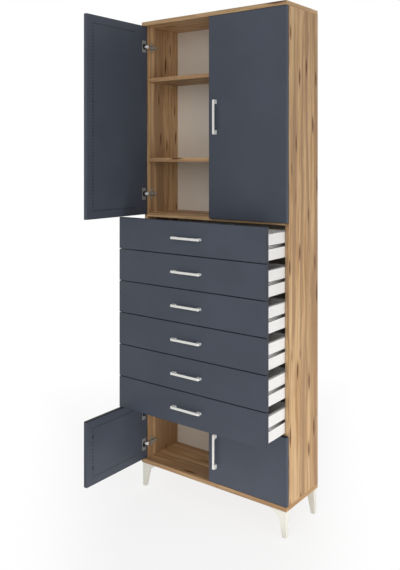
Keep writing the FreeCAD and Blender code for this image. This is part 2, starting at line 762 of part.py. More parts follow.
def make_fixed_runners():
    runners = []
    for step, height in enumerate(drawer_heights):
        at = (inner_x, "front_y + front_thick + runner_end_gap", f"{height} + runner_z - runner_height / 2")
        width = "groove_floor_gap - runner_wall_gap"
        channel = make_channel(f"fixed_runner_{step}", width, "runner_height", "runner_length", at, "right")
        runners.append(cut(f"bored_runner_{step}", channel, [left_screws]))
    left = group("left_runners", runners)
    return group("cabinet_runners", [left, mirrored("right_runners", left)])


def make_slider():
    """Runner member of the drawer, on the left, and its screws."""
    at = (
        "0 - inner_half + runner_wall_gap",
        "front_thick + runner_end_gap",
        "runner_z - slider_height / 2",
    )
    width = "groove_floor_gap - runner_wall_gap"
    channel = make_channel("slider", width, "slider_height", "runner_length", at, "left")
    seat_x = "0 - inner_half + groove_floor_gap - runner_metal"
    first = "front_thick + runner_end_gap + runner_screw_inset"
    last = first + " + runner_length - 2 * runner_screw_inset"
    screws = [copy("slider_screw", short_screw, (seat_x, y, "runner_z"), AGAINST_X) for y in (first, last)]
    pair = group("slider_screws", screws)
    return cut("slider_bored", channel, [pair]), pair


node("cabinet_runners", make_fixed_runners())
slider, slider_screws = make_slider()
left_slider = group("left_slider", [slider, slider_screws])
drawer_handle_at = (0, 0, "drawer_front_height / 2")
drawer_bolt_holes = copy("drawer_bolt_holes", handle_bolts, drawer_handle_at)
drawer_front = panel(
    "drawer_front",
    ("case_width - 2 * drawer_front_inset", "front_thick", "drawer_front_height"),
    (case_x + " + drawer_front_inset", 0, 0),
    [drawer_bolt_holes],
    "front_round",
)
drawer_bottom = box(
    "drawer_bottom",
    (
        "2 * (drawer_inner_half + drawer_bottom_groove - groove_play)",
        "drawer_length",
        "drawer_bottom_thick",
    ),
    ("groove_play - drawer_inner_half - drawer_bottom_groove", "front_thick", "drawer_bottom_z"),
)
drawer_pieces = {
    "front": [drawer_front],
    "walls": [make_drawer_walls()],
    "bottom": [drawer_bottom],
    "runners": [left_slider, mirrored("right_slider", left_slider)],
    "handle": [copy("drawer_handle", handle, drawer_handle_at)],
}
for number, height in enumerate(drawer_heights, start=1):
    for piece, solids in drawer_pieces.items():
        label = f"drawer_{number}_{piece}"
        node(label, group(label, solids, (0, "front_y - drawer_pull", height)))


# Finished pieces

doc.recompute()
for thing in doc.Objects:
    if "Invalid" in thing.State or "Error" in thing.State:
        raise RuntimeError(f"{thing.Name} did not build: {thing.State}")
for piece in nodes:
    if piece.Shape.isNull() or not piece.Shape.isValid():
        raise RuntimeError(f"{piece.Label} has no valid shape")
os.makedirs("parts", exist_ok=True)
for piece in nodes:
    piece.Shape.exportStep(f"parts/{piece.Label}.step")
    print(piece.Label, len(piece.Shape.Solids), round(piece.Shape.Volume))
print(len(nodes), "pieces")
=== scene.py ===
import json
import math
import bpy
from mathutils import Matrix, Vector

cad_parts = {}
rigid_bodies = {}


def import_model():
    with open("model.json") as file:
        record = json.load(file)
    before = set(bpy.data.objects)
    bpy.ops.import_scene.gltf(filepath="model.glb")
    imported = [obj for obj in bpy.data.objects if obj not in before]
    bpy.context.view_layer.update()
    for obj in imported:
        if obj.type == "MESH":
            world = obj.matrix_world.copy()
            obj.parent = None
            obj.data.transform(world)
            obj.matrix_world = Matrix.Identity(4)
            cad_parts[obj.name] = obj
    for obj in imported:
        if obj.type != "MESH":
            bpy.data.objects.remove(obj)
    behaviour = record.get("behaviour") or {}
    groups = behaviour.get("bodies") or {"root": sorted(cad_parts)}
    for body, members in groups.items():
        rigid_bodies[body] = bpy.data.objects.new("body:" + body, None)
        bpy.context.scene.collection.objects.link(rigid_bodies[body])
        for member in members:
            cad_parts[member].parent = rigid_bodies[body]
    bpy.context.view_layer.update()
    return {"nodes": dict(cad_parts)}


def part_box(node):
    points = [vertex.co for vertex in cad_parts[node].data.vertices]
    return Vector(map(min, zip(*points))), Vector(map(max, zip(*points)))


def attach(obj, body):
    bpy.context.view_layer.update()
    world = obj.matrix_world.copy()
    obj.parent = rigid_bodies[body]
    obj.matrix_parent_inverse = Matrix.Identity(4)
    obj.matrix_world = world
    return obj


bl_info = {
    "name": "Storage Cabinet Finishes",
    "version": (1, 0, 0),
    "blender": (4, 5, 0),
    "location": "3D View > Sidebar > Cabinet",
    "description": "Finishes, small fittings and a studio stage for a tall storage cabinet",
    "category": "Object",
}

import bmesh
import bpy
from bpy.props import FloatProperty, FloatVectorProperty, IntProperty, PointerProperty
from mathutils import Matrix, Vector

for leftover in list(bpy.data.objects):
    bpy.data.objects.remove(leftover)
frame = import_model()
NODES = frame["nodes"]

MM = 0.001
X_AXIS, Y_AXIS, Z_AXIS = range(3)
DOORS = ("upper_left", "upper_right", "lower_left", "lower_right")
DRAWERS = tuple(f"drawer_{number}" for number in range(1, 7))
INNER_BOARDS = ("upper_divider", "lower_divider", "high_shelf", "low_shelf")
LEVEL_BOARDS = ("top_board", "bottom_board", *INNER_BOARDS)
UPRIGHT_BOARDS = ("left_side", "right_side")

# How light the oak is drawn on the front edge of each outer board, as a share of its faces
FRONT_EDGE_TONES = {"top_board": 0.8, "bottom_board": 0.94, "left_side": 0.7, "right_side": 0.94}
# Painted light on the front edges of the inner boards, drawn paler, and painted shade on their
# undersides, drawn darker
INNER_EDGE_LIGHT, INNER_UNDERSIDE_SHADE = 1.12, 0.75

# Scale of the patterns along the grain or the brushing, where 1 isn't drawn out
SWAY_STRETCH, STREAK_STRETCH, FIBRE_STRETCH, BRUSH_STRETCH = 0.25, 0.03, 0.018, 0.05
# Cracks lie this much further along the grain for each step through a board
CRACK_SHIFT = 7.0
# The smallest crack, as a share of the set size; the largest has one share more
LEAST_CRACK = 0.45
# The fine relief of a matt surface scatters about half of its gloss
FOIL_SPECULAR = 0.26
# How far the roughness of a foil and of brushed metal moves, down and up
FOIL_SWING, BRUSH_SWING = (0.04, 0.04), (0.05, 0.07)
# Colour of a brush line, as a share of the metal's own
BRUSH_TONE = 0.92
# Depths of the fine relief
PORE_DEPTH, EMBOSS_DEPTH, BRUSH_DEPTH = 0.15 * MM, 0.05 * MM, 0.02 * MM

# A face looks along an axis when its normal has this share of it
SQUARE_ON = 0.9
# Shares of a normal at which the edges of the drawer fronts and of the doors begin
FRONT_ROUNDING, DOOR_ROUNDING = 0.97, 0.2
# Slack for picking faces by their place, and for points that are the same
PICK_SLACK, LIP_SLACK, HEAD_SLACK = 0.2 * MM, 0.3 * MM, 0.5 * MM
SAME_POINT, SAME_LEVEL = 0.001 * MM, 0.01 * MM
# A flat face wider than this is no screw head
HEAD_LIMIT = 20 * MM

# Upper rim of a button, as a share of its lower one
BUTTON_RIM = 0.8
# Adjusting screws along a hinge arm, as shares of its length
ADJUSTER_PLACES = (0.55, 0.86)

# Soft lights: where each stands, what it shines on, its width and the setting of its power
LAMPS = {
    "high_light": ((0.9, -3.0, 2.4), (0.0, 0.0, 0.9), 2.0, "high_power"),
    "low_light": ((1.6, -2.2, 0.4), (0.0, 0.0, 0.4), 1.0, "low_power"),
    "right_light": ((2.0, -0.8, 0.9), (0.3, -0.15, 0.6), 1.0, "right_power"),
    "side_light": ((1.5, -0.35, 0.12), (0.3, 0.0, 0.3), 0.8, "side_power"),
    "floor_light": ((0.05, -0.45, 0.01), (0.05, -0.45, 1.0), 0.6, "floor_power"),
}
# How white the floor shows near the cabinet, and between which distances it turns all white:
# round about, and along two headings
NEAR_WHITE = 0.8
ROUND_FADE = (0.5, 1.7)
SIDE_FADES = {(0.887, 0.461, 0.0): (0.2, 0.6), (-0.685, -0.728, 0.0): (0.35, 0.85)}
# Of the camera, in millimetres
SENSOR_WIDTH = 36


def from_hex(code):
    """Turn an sRGB hex colour into the linear RGBA that Blender works in."""
    channels = [int(code[place : place + 2], 16) / 255 for place in (0, 2, 4)]
    linear = [c / 12.92 if c <= 0.04045 else ((c + 0.055) / 1.055) ** 2.4 for c in channels]
    return (*linear, 1.0)


def colour_setting(name, description, code):
    """A colour that a user may change, from its hex code."""
    return FloatVectorProperty(
        name=name,
        description=description,
        subtype="COLOR",
        size=4,
        min=0,
        max=1,
        default=from_hex(code),
    )


def length_setting(name, description, millimetres):
    """A length that a user may change, from its millimetres."""
    return FloatProperty(
        name=name,
        description=description,
        subtype="DISTANCE",
        unit="LENGTH",
        min=0,
        precision=5,
        default=millimetres * MM,
    )


def power_setting(name, description, watts):
    """The power of a lamp, which a user may change."""
    return FloatProperty(name=name, description=description, unit="POWER", min=0, default=watts)


class CabinetColours(bpy.types.PropertyGroup):
    """Colours of the finishes."""

    oak_pale: colour_setting("Pale oak", "Light streaks of the oak foil", "dab78b")
    oak_mid: colour_setting("Mid oak", "Body colour of the oak foil", "d3ae81")
    oak_brown: colour_setting("Brown oak", "Dark streaks of the oak foil", "b68d61")
    oak_umber: colour_setting("Umber oak", "Broad greyish-brown bands of the oak foil", "aa8764")
    oak_pore: colour_setting("Oak pore", "Fine dark fibre of the oak foil", "8e6947")
    oak_crack: colour_setting("Oak crack", "Cracks and small knots of the oak foil", "5c300e")
    slate: colour_setting("Slate", "Doors and drawer fronts", "484e5a")
    # Edge tape of the drawer fronts, darkened with painted shade that hides the highlight on their
    # rounded corners
    slate_edge_and_shade: colour_setting("Slate edging", "Edge tape of the drawer fronts", "343843")
    # Painted shade: the upper and lower edges of the doors are drawn nearly black
    door_gap_shade: colour_setting("Door edging", "Upper and lower edges of the doors", "191a1d")
    # Painted shade in the pressed dots
    slate_dot_shade: colour_setting("Slate dot", "Pressed dots inside the doors", "33363d")
    hardboard: colour_setting("Hardboard", "Back panel", "e7dfd3")
    drawer_white: colour_setting("Drawer white", "Drawer sides, backs and bottoms", "f2f1ef")
    nickel: colour_setting("Satin nickel", "Handles", "f2f1ec")
    # Painted highlight on the heads of the hinge arms
    white_nickel: colour_setting("White nickel", "Heads of the hinge arms", "ffffff")
    zinc: colour_setting("Bright zinc", "Runners and screws", "d4d5d4")
    grey_zinc: colour_setting("Grey zinc", "Hinge cups", "a6a8a7")
    # Painted reflection of the oak on the hinge plates and arms
    warm_zinc: colour_setting("Warm zinc", "Hinge plates and arms", "a29c90")
    bronze: colour_setting("Bronze", "Shelf pins", "c49c70")
    shade: colour_setting("Shade", "Insides of hinge cups and runner grooves", "3b3b3c")
    # Painted shade on the rear of the drawer runners
    runner_rear_shade: colour_setting("Dull zinc", "Shaded rear of the drawer runners", "4c4b49")
    black_oxide: colour_setting("Black oxide", "Heads of the handle bolts", "3a3d43")
    # Painted shade in the cross recesses
    recess: colour_setting("Recess", "Cross recesses of the screws", "2a2a2b")
    cream: colour_setting("Cream", "Feet", "f2f0e6")
    beech: colour_setting("Beech", "Dowels", "d8b98a")
    floor: colour_setting("Floor", "Studio floor", "f4f3f2")


class CabinetSizes(bpy.types.PropertyGroup):
    """Real sizes of the grain and of the small fittings."""

    streak: length_setting("Streak", "Width of a streak of the oak print", 15)
    band: length_setting("Band", "Width of a colour band of the oak print", 60)
    pore: length_setting("Pore", "Width of an oak pore line, drawn coarse enough to show", 3)
    crack_spacing: length_setting("Crack spacing", "Across the grain, between oak cracks", 62)
    crack_interval: length_setting("Crack interval", "Along the grain, between oak cracks", 220)
    crack_start: length_setting("Crack start", "Where the oak cracks start on the boards", 1320)
    crack_width: length_setting("Crack width", "Across an oak crack and its stain", 11)
    crack_length: length_setting("Crack length", "Along an oak crack and its stain", 50)
    wander: length_setting("Wander", "How far an oak crack wanders sideways", 20)
    print_start: length_setting("Print start", "Where the oak print starts on the boards", 37)
    sway: length_setting("Sway", "Sideways sway of the oak grain", 22)
    groove_rise: length_setting("Groove rise", "Runner groove above a drawer side's edge", 45)
    groove_width: length_setting("Groove width", "Runner groove, top to bottom", 13)
    groove_depth: length_setting("Groove depth", "Runner groove into a drawer side", 7.5)
    cloud: length_setting("Cloud", "Faint cloud in the colour of the matt foil", 160)
    foil_grain: length_setting("Foil grain", "Embossed grain of the matt foil", 1.6)
    brush_line: length_setting("Brush line", "Brushing of metal, drawn coarse enough to show", 0.6)
    mould_grain: length_setting("Mould grain", "Spark-eroded grain of the moulded feet", 0.9)
    dot_inset: length_setting("Dot inset", "Row of pressed dots to the edge of the door", 31.5)
    dot_pitch: length_setting("Dot pitch", "Between neighbouring dots", 12.8)
    dot_radius: length_setting("Dot radius", "Pressed dots inside the doors", 3.8)
    dot_height: length_setting("Dot height", "How far a dot shows on the door", 0.25)
    dot_end: length_setting("Dot end", "Last dot of a row to the hinge edge of the door", 78)
    dot_sides: IntProperty(
        name="Dot sides", description="Corners of a pressed dot", min=6, default=12
    )
    recess_arm: length_setting("Recess arm", "Cross recess, end to end", 2.8)
    recess_slot: length_setting("Recess slot", "Width of a cross recess", 0.7)
    recess_height: length_setting("Recess height", "How far a cross shows on its head", 0.08)
    bright_arm: length_setting("Bright arm", "Bright head of a hinge arm", 12.5)
    head_proud: length_setting("Arm head", "Head of a hinge arm over its outer face", 0.5)
    knuckle: length_setting("Knuckle", "Eye of a hinge arm", 5.6)
    bowl_start: length_setting("Bowl start", "Shaded bowl of a hinge cup under its flange", 4.2)
    bright_run: length_setting("Bright run", "Bright front of a drawer runner", 45)
    # Painted shade: the runners darken over this length towards the rear
    shade_run: length_setting("Dull run", "Length over which a drawer runner turns dull", 80)
    adjuster_radius: length_setting("Adjuster", "Adjusting screws on the hinge arms", 3.2)
    adjuster_height: length_setting("Adjuster height", "Head of an adjusting screw", 0.8)
    adjuster_sides: IntProperty(
        name="Adjuster sides", description="Corners of an adjusting screw", min=6, default=24
    )


class StageSettings(bpy.types.PropertyGroup):
    """Light and camera."""

    high_power: power_setting("High", "Soft light high at the front", 18)
    low_power: power_setting("Low", "Soft light low at the front right", 4)
    right_power: power_setting("Right", "Soft light high at the right", 2.5)
    side_power: power_setting("Side", "Soft light low at the right", 8.6)
    floor_power: power_setting("Floor bounce", "Light off the floor", 0.72)
    sky: FloatProperty(name="Sky", description="Even light from all round", min=0, default=0.515)
    camera_place: FloatVectorProperty(
        name="Camera place",
        description="Where the camera stands",
        subtype="TRANSLATION",
        unit="LENGTH",
        default=(1.571, -2.247, 1.341),
    )
    lens: FloatProperty(
        name="Lens", description="Focal length", subtype="DISTANCE_CAMERA", default=43.95
    )
    shift: FloatProperty(
        name="Shift", description="Vertical shift of the picture", default=-0.2235
    )
    yaw: FloatProperty(
        name="Yaw", description="Camera heading", subtype="ANGLE", default=math.radians(37.11)
    )
    floor_size: FloatProperty(
        name="Floor size", description="Side of the floor", unit="LENGTH", default=30
    )


def colours():
    return bpy.context.scene.cabinet_colours


def sizes():
    return bpy.context.scene.cabinet_sizes


def stage_settings():
    return bpy.context.scene.cabinet_stage


# Materials


def add_node(tree, kind, inputs=None, stops=None, **settings):
    """Add one node: its settings, the values or links of its inputs, and a ramp's colour stops."""
    node = tree.nodes.new(kind)
    for name, value in settings.items():
        setattr(node, name, value)
    for name, value in (inputs or {}).items():
        if isinstance(name, int):
            socket = node.inputs[name]
        else:
            socket = next(s for s in node.inputs if name in (s.identifier, s.name))
        if isinstance(value, bpy.types.NodeSocket):
            tree.links.new(value, socket)
        else:
            socket.default_value = value
    if stops:
        elements = node.color_ramp.elements
        while len(elements) < len(stops):
            elements.new(0.5)
        for element, (place, colour) in zip(elements, stops):
            element.position = place
            element.color = colour
    return node


def new_material(name):
    """An empty material with its shader, and the Object coordinates that its patterns read."""
    material = bpy.data.materials.new(name)
    material.use_nodes = True
    tree = material.node_tree
    shader = next(node for node in tree.nodes if node.type == "BSDF_PRINCIPLED")
    coords = add_node(tree, "ShaderNodeTexCoord").outputs["Object"]
    return material, tree, shader, coords


def grey(level):
    return (level, level, level, 1.0)


def scaled(colour, share):
    """A colour made darker or lighter."""
    return (*(min(1.0, channel * share) for channel in colour[:3]), 1.0)


def drawn_out(along, share):
    """Scale of a pattern that is drawn out along one axis."""
    return [share if axis == along else 1.0 for axis in range(3)]


def oak_grain(tree, coords, along):
    """Coordinates of the oak print, which sways a little and is drawn out: streaks and fibre."""
    size = sizes()
    slow = add_node(
        tree, "ShaderNodeMapping", {"Vector": coords, "Scale": drawn_out(along, SWAY_STRETCH)}
    ).outputs["Vector"]
    sway = add_node(
        tree, "ShaderNodeTexNoise", {"Vector": slow, "Scale": 1 / size.band, "Detail": 1.0}
    ).outputs["Color"]
    swayed = add_node(
        tree,
        "ShaderNodeVectorMath",
        {0: sway, 1: (size.sway,) * 3, 2: coords},
        operation="MULTIPLY_ADD",
    ).outputs["Vector"]
    flow = add_node(
        tree,
        "ShaderNodeMapping",
        {
            "Vector": swayed,
            "Location": (size.print_start,) * 3,
            "Scale": drawn_out(along, STREAK_STRETCH),
        },
    ).outputs["Vector"]
    fibre = add_node(
        tree, "ShaderNodeMapping", {"Vector": swayed, "Scale": drawn_out(along, FIBRE_STRETCH)}
    ).outputs["Vector"]
    return flow, fibre


def oak_bands(tree, flow, streaks):
    """Colour of the oak print without its pores and cracks: streaks with broad umber bands."""
    tone, size = colours(), sizes()
    bands = add_node(
        tree,
        "ShaderNodeTexNoise",
        {
            "Vector": flow,
            "Scale": 1 / size.band,
            "Detail": 2.0,
            "Roughness": 0.55,
            "Distortion": 0.8,
        },
    ).outputs["Fac"]
    body = add_node(
        tree,
        "ShaderNodeValToRGB",
        {"Fac": streaks},
        [(0.37, tone.oak_brown), (0.5, tone.oak_mid), (0.61, tone.oak_pale)],
    ).outputs["Color"]
    band_share = add_node(
        tree, "ShaderNodeValToRGB", {"Fac": bands}, [(0.46, grey(0.0)), (0.56, grey(0.95))]
    ).outputs["Color"]
    return add_node(
        tree,
        "ShaderNodeMix",
        {"Factor_Float": band_share, "A_Color": body, "B_Color": tone.oak_umber},
        data_type="RGBA",
    ).outputs[2]


def oak_cracks(tree, coords, flow, along, through):
    """Where the oak print is cracked: one pointed lens in about two cells of three."""
    size = sizes()
    across = next(axis for axis in range(3) if axis not in (along, through))
    wobble = add_node(
        tree, "ShaderNodeTexNoise", {"Vector": flow, "Scale": 1 / size.band, "Detail": 2.0}
    ).outputs["Color"]
    wander = add_node(
        tree,
        "ShaderNodeVectorMath",
        {0: wobble, 1: (size.wander,) * 3, 2: coords},
        operation="MULTIPLY_ADD",
    ).outputs["Vector"]
    apart = add_node(tree, "ShaderNodeSeparateXYZ", {"Vector": wander}).outputs
    row = add_node(
        tree,
        "ShaderNodeMath",
        {0: apart[through], 1: CRACK_SHIFT, 2: apart[along]},
        operation="MULTIPLY_ADD",
    ).outputs[0]
    cell_across = add_node(
        tree, "ShaderNodeMath", {0: apart[across], 1: 1 / size.crack_spacing}, operation="MULTIPLY"
    ).outputs[0]
    cell_along = add_node(
        tree,
        "ShaderNodeMath",
        {0: row, 1: 1 / size.crack_interval, 2: size.crack_start / size.crack_interval},
        operation="MULTIPLY_ADD",
    ).outputs[0]
    cell = add_node(
        tree, "ShaderNodeCombineXYZ", {"X": cell_across, "Y": cell_along}
    ).outputs["Vector"]
    cracks = add_node(
        tree, "ShaderNodeTexVoronoi", {"Vector": cell, "Scale": 1.0}, voronoi_dimensions="2D"
    ).outputs
    offset = add_node(
        tree, "ShaderNodeVectorMath", {0: cell, 1: cracks["Position"]}, operation="SUBTRACT"
    ).outputs["Vector"]
    from_middle = add_node(tree, "ShaderNodeSeparateXYZ", {"Vector": offset}).outputs
    sideways = add_node(
        tree,
        "ShaderNodeMath",
        {0: from_middle[0], 1: size.crack_spacing / size.crack_width},
        operation="MULTIPLY",
    ).outputs[0]
    aside = add_node(tree, "ShaderNodeMath", {0: sideways}, operation="ABSOLUTE").outputs[0]
    lengthways = add_node(
        tree,
        "ShaderNodeMath",
        {0: from_middle[1], 1: size.crack_interval / size.crack_length},
        operation="MULTIPLY",
    ).outputs[0]
    pointed = add_node(
        tree, "ShaderNodeMath", {0: lengthways, 1: lengthways, 2: aside}, operation="MULTIPLY_ADD"
    ).outputs[0]
    draw = add_node(tree, "ShaderNodeSeparateColor", {"Color": cracks["Color"]}).outputs
    growth = add_node(
        tree, "ShaderNodeMath", {0: draw[1], 1: LEAST_CRACK}, operation="ADD"
    ).outputs[0]
    reach = add_node(tree, "ShaderNodeMath", {0: pointed, 1: growth}, operation="DIVIDE").outputs[0]
    lens = add_node(
        tree,
        "ShaderNodeValToRGB",
        {"Fac": reach},
        [(0.14, grey(0.97)), (0.34, grey(0.66)), (0.55, grey(0.14)), (0.9, grey(0.0))],
    ).outputs["Color"]
    chosen = add_node(
        tree, "ShaderNodeValToRGB", {"Fac": draw[0]}, [(0.34, grey(0.0)), (0.4, grey(1.0))]
    ).outputs["Color"]
    return add_node(tree, "ShaderNodeMath", {0: lens, 1: chosen}, operation="MULTIPLY").outputs[0]


def oak_foil(name, along, through, paleness=1.0):
    """Printed wild-oak foil on chipboard: soft colour bands, fine fibre and pointed dark cracks.

    The print is satin and nearly flat, so its fibre shows as thin lines of low contrast and only
    the cracks stand out.
    """
    tone, size = colours(), sizes()
    material, tree, shader, coords = new_material(name)
    flow, fibre = oak_grain(tree, coords, along)
    streaks = add_node(
        tree,
        "ShaderNodeTexNoise",
        {
            "Vector": flow,
            "Scale": 1 / size.streak,
            "Detail": 3.0,
            "Roughness": 0.6,
            "Distortion": 0.4,
        },
    ).outputs["Fac"]
    pores = add_node(
        tree,
        "ShaderNodeTexNoise",
        {"Vector": fibre, "Scale": 1 / size.pore, "Detail": 2.0, "Roughness": 0.6},
    ).outputs["Fac"]
    pore_share = add_node(
        tree, "ShaderNodeValToRGB", {"Fac": pores}, [(0.34, grey(0.45)), (0.5, grey(0.0))]
    ).outputs["Color"]
    printed = oak_bands(tree, flow, streaks)
    crack_share = oak_cracks(tree, coords, flow, along, through)
    for share, colour in ((pore_share, tone.oak_pore), (crack_share, tone.oak_crack)):
        printed = add_node(
            tree,
            "ShaderNodeMix",
            {"Factor_Float": share, "A_Color": printed, "B_Color": colour},
            data_type="RGBA",
        ).outputs[2]
    toned = add_node(
        tree, "ShaderNodeVectorMath", {0: printed, 1: (paleness,) * 3}, operation="MULTIPLY"
    ).outputs["Vector"]
    tree.links.new(toned, shader.inputs["Base Color"])
    sheen = add_node(
        tree, "ShaderNodeValToRGB", {"Fac": streaks}, [(0.3, grey(0.58)), (0.7, grey(0.46))]
    ).outputs["Color"]
    tree.links.new(sheen, shader.inputs["Roughness"])
    shader.inputs["Specular IOR Level"].default_value = FOIL_SPECULAR
    bump = add_node(
        tree, "ShaderNodeBump", {"Height": pores, "Strength": 0.25, "Distance": PORE_DEPTH}
    ).outputs["Normal"]
    tree.links.new(bump, shader.inputs["Normal"])
    return material


def matt_foil(name, colour, grain, roughness, shade=0.06):
    """Plain matt foil on board: one even colour with a faint cloud and a fine embossed grain."""
    material, tree, shader, coords = new_material(name)
    cloud = add_node(
        tree, "ShaderNodeTexNoise", {"Vector": coords, "Scale": 1 / sizes().cloud, "Detail": 3.0}
    ).outputs["Fac"]
    clouded = add_node(
        tree,
        "ShaderNodeValToRGB",
        {"Fac": cloud},
        [(0.35, scaled(colour, 1 - shade)), (0.65, scaled(colour, 1 + shade))],
    ).outputs["Color"]
    tree.links.new(clouded, shader.inputs["Base Color"])
    emboss = add_node(
        tree, "ShaderNodeTexNoise", {"Vector": coords, "Scale": 1 / grain, "Detail": 2.0}
    ).outputs["Fac"]
    down, up = FOIL_SWING
    dull = add_node(
        tree,
        "ShaderNodeValToRGB",
        {"Fac": emboss},
        [(0.3, grey(roughness - down)), (0.7, grey(roughness + up))],
    ).outputs["Color"]
    tree.links.new(dull, shader.inputs["Roughness"])
    shader.inputs["Specular IOR Level"].default_value = FOIL_SPECULAR
    bump = add_node(
        tree, "ShaderNodeBump", {"Height": emboss, "Strength": 0.12, "Distance": EMBOSS_DEPTH}
    ).outputs["Normal"]
    tree.links.new(bump, shader.inputs["Normal"])
    return material


def satin_metal(name, colour, roughness, along, metallic, fade=None):
    """Plated metal with a soft brushed sheen: fine lines along the piece vary its gloss.

    A fade is the colour at the rear of the piece, and the Y where it starts and is full.
    """
    material, tree, shader, coords = new_material(name)
    brushed = add_node(
        tree, "ShaderNodeMapping", {"Vector": coords, "Scale": drawn_out(along, BRUSH_STRETCH)}
    ).outputs["Vector"]
    lines = add_node(
        tree,
        "ShaderNodeTexNoise",
        {"Vector": brushed, "Scale": 1 / sizes().brush_line, "Detail": 2.0},
    ).outputs["Fac"]
    base = add_node(
        tree,
        "ShaderNodeValToRGB",
        {"Fac": lines},
        [(0.3, scaled(colour, BRUSH_TONE)), (0.6, colour)],
    ).outputs["Color"]
    if fade:
        rear, start, full = fade
        place = add_node(tree, "ShaderNodeSeparateXYZ", {"Vector": coords}).outputs["Y"]
        share = add_node(
            tree, "ShaderNodeMapRange", {"Value": place, "From Min": start, "From Max": full}
        ).outputs[0]
        base = add_node(
            tree,
            "ShaderNodeMix",
            {"Factor_Float": share, "A_Color": base, "B_Color": rear},
            data_type="RGBA",
        ).outputs[2]
    tree.links.new(base, shader.inputs["Base Color"])
    down, up = BRUSH_SWING
    gloss = add_node(
        tree,
        "ShaderNodeValToRGB",
        {"Fac": lines},
        [(0.3, grey(roughness - down)), (0.7, grey(roughness + up))],
    ).outputs["Color"]
    tree.links.new(gloss, shader.inputs["Roughness"])
    shader.inputs["Metallic"].default_value = metallic
    bump = add_node(
        tree, "ShaderNodeBump", {"Height": lines, "Strength": 0.06, "Distance": BRUSH_DEPTH}
    ).outputs["Normal"]
    tree.links.new(bump, shader.inputs["Normal"])
    return material


def paint(names, material):
    """Give CAD nodes their finish."""
    for name in names:
        mesh = NODES[name].data
        mesh.materials.clear()
        mesh.materials.append(material)


def paint_where(name, material, wanted):
    """Give the faces of a CAD node that pass a test a second finish."""
    mesh = NODES[name].data
    mesh.materials.append(material)
    place = len(mesh.materials) - 1
    for polygon in mesh.polygons:
        if wanted(polygon):
            polygon.material_index = place


def looks_sideways(polygon):
    return abs(polygon.normal[X_AXIS]) > SQUARE_ON


def looks_forward(polygon):
    return polygon.normal[Y_AXIS] < -SQUARE_ON


def looks_down(polygon):
    return polygon.normal[Z_AXIS] < -SQUARE_ON


def inner_axis(door):
    """The inner face looks to +X on an open left door and to +Y on a closed right door."""
    return X_AXIS if door.endswith("left") else Y_AXIS


# Small fittings


def new_piece(name, builder, material, body):
    """Keep a finished bmesh as a piece that rides on a body."""
    bmesh.ops.recalc_face_normals(builder, faces=builder.faces[:])
    mesh = bpy.data.meshes.new(name)
    builder.to_mesh(mesh)
    builder.free()
    mesh.materials.append(material)
    piece = bpy.data.objects.new(name, mesh)
    bpy.context.scene.collection.objects.link(piece)
    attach(piece, body)


def islands(name, joined=True):
    """Lowest and highest corners of each separate solid of a CAD node, or of each of its faces."""
    builder = bmesh.new()
    builder.from_mesh(NODES[name].data)
    if joined:
        bmesh.ops.remove_doubles(builder, verts=builder.verts[:], dist=SAME_POINT)
    waiting = set(builder.verts)
    found = []
    while waiting:
        front = [waiting.pop()]
        solid = []
        while front:
            vertex = front.pop()
            solid.append(vertex.co.copy())
            for edge in vertex.link_edges:
                other = edge.other_vert(vertex)
                if other in waiting:
                    waiting.remove(other)
                    front.append(other)
        low = Vector([min(co[axis] for co in solid) for axis in range(3)])
        high = Vector([max(co[axis] for co in solid) for axis in range(3)])
        found.append((low, high))
    builder.free()
    return sorted(found, key=lambda pair: tuple(round(value, 5) for value in (*pair[0], *pair[1])))


def head_places(name, axis, sign):
    """Middles of the screw heads of a CAD node: its outermost small flat faces along an axis."""
    places = [
        (low + high) / 2
        for low, high in islands(name, joined=False)
        if high[axis] - low[axis] < SAME_LEVEL and max(high - low) < HEAD_LIMIT
    ]
    outermost = max(place[axis] * sign for place in places)
    return [place for place in places if place[axis] * sign > outermost - SAME_LEVEL]


def facing(axis, sign):
    """The turn that takes +Z to the given row axis."""
    target = Vector((0, 0, 0))
    target[axis] = sign
    return Vector((0, 0, 1)).rotation_difference(target).to_matrix().to_4x4()


def add_cross(builder, place, turn):
    """A cross recess: a plus-shaped plate, thin, on the head of a screw, drawn dark as painted
    shade in the recess.
    """
    size = sizes()
    half_arm, half_slot = size.recess_arm / 2, size.recess_slot / 2
    made = bmesh.ops.create_grid(builder, x_segments=3, y_segments=3, size=half_arm)["verts"]
    for vertex in made:
        for axis in (X_AXIS, Y_AXIS):
            reach = half_arm if abs(vertex.co[axis]) > half_arm / 2 else half_slot
            vertex.co[axis] = math.copysign(reach, vertex.co[axis])
    faces = {face for vertex in made for face in vertex.link_faces}
    corners = [
        face
        for face in faces
        if min(abs(face.calc_center_median()[axis]) for axis in (X_AXIS, Y_AXIS)) > half_slot
    ]
    bmesh.ops.delete(builder, geom=corners, context="FACES")
    plate = [face for face in faces if face.is_valid]
    raised = bmesh.ops.extrude_face_region(builder, geom=plate)["geom"]
    upper = [item for item in raised if isinstance(item, bmesh.types.BMVert)]
    bmesh.ops.translate(builder, verts=upper, vec=(0, 0, size.recess_height))
    cross = {vertex for face in plate for vertex in face.verts} | set(upper)
    bmesh.ops.transform(builder, matrix=Matrix.Translation(place) @ turn, verts=list(cross))


def add_button(builder, place, turn, radius, height, sides):
    """A low round button with an eased rim."""
    made = bmesh.ops.create_cone(
        builder,
        cap_ends=True,
        segments=sides,
        radius1=radius,
        radius2=radius * BUTTON_RIM,
        depth=height,
    )["verts"]
    bmesh.ops.translate(builder, verts=made, vec=(0, 0, height / 2))
    bmesh.ops.transform(builder, matrix=Matrix.Translation(place) @ turn, verts=made)


